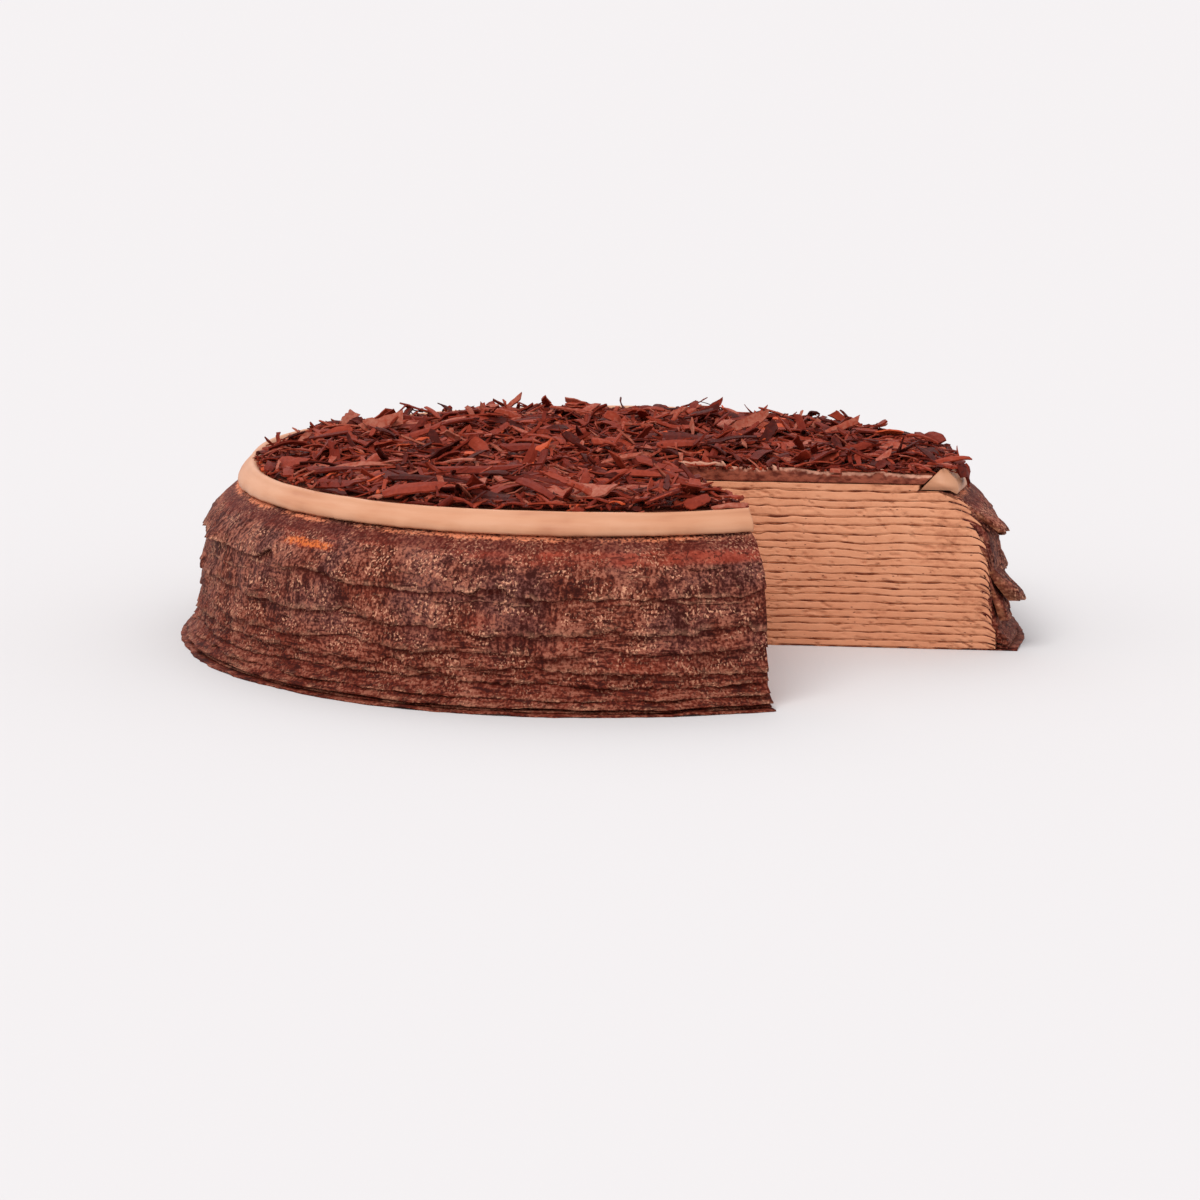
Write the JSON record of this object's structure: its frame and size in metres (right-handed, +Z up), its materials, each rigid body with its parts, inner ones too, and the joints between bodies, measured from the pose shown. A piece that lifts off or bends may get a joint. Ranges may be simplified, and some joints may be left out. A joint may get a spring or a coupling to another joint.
{
  "type": "crepe cake",
  "caption": "Round chocolate mille crepe cake with one slice taken out, a piped cream ring round its top and a heap of chocolate shavings inside it.",
  "frame": {"origin": "middle of the flat bottom of the whole round cake", "axes": "+Z up, -Y towards the side from which the missing slice is seen at the right, +X to the right"},
  "size_m": [0.2471, 0.2471, 0.0581],
  "materials": {
    "browned_crepe": "matt, porous, wrinkled browned crepe",
    "chocolate_cream": "soft matt milk chocolate cream",
    "piped_cream": "smooth satin piped cream",
    "ganache": "soft satin ganache",
    "chocolate_shavings": "broken dark chocolate, matt with a slight sheen"
  },
  "bodies": {
    "root": {"crepe_00": "browned_crepe", "crepe_01": "browned_crepe", "crepe_02": "browned_crepe", "crepe_03": "browned_crepe", "crepe_04": "browned_crepe", "crepe_05": "browned_crepe", "crepe_06": "browned_crepe", "crepe_07": "browned_crepe", "crepe_08": "browned_crepe", "crepe_09": "browned_crepe", "crepe_10": "browned_crepe", "crepe_11": "browned_crepe", "crepe_12": "browned_crepe", "crepe_13": "browned_crepe", "crepe_14": "browned_crepe", "crepe_15": "browned_crepe", "crepe_16": "browned_crepe", "crepe_17": "browned_crepe", "crepe_18": "browned_crepe", "crepe_19": "browned_crepe", "crepe_20": "browned_crepe", "cream_00": "chocolate_cream", "cream_01": "chocolate_cream", "cream_02": "chocolate_cream", "cream_03": "chocolate_cream", "cream_04": "chocolate_cream", "cream_05": "chocolate_cream", "cream_06": "chocolate_cream", "cream_07": "chocolate_cream", "cream_08": "chocolate_cream", "cream_09": "chocolate_cream", "cream_10": "chocolate_cream", "cream_11": "chocolate_cream", "cream_12": "chocolate_cream", "cream_13": "chocolate_cream", "cream_14": "chocolate_cream", "cream_15": "chocolate_cream", "cream_16": "chocolate_cream", "cream_17": "chocolate_cream", "cream_18": "chocolate_cream", "cream_19": "chocolate_cream", "cream_20": "chocolate_cream", "cream_ring": "piped_cream", "ganache": "ganache", "shavings": "chocolate_shavings"}
  },
  "joints": []
}
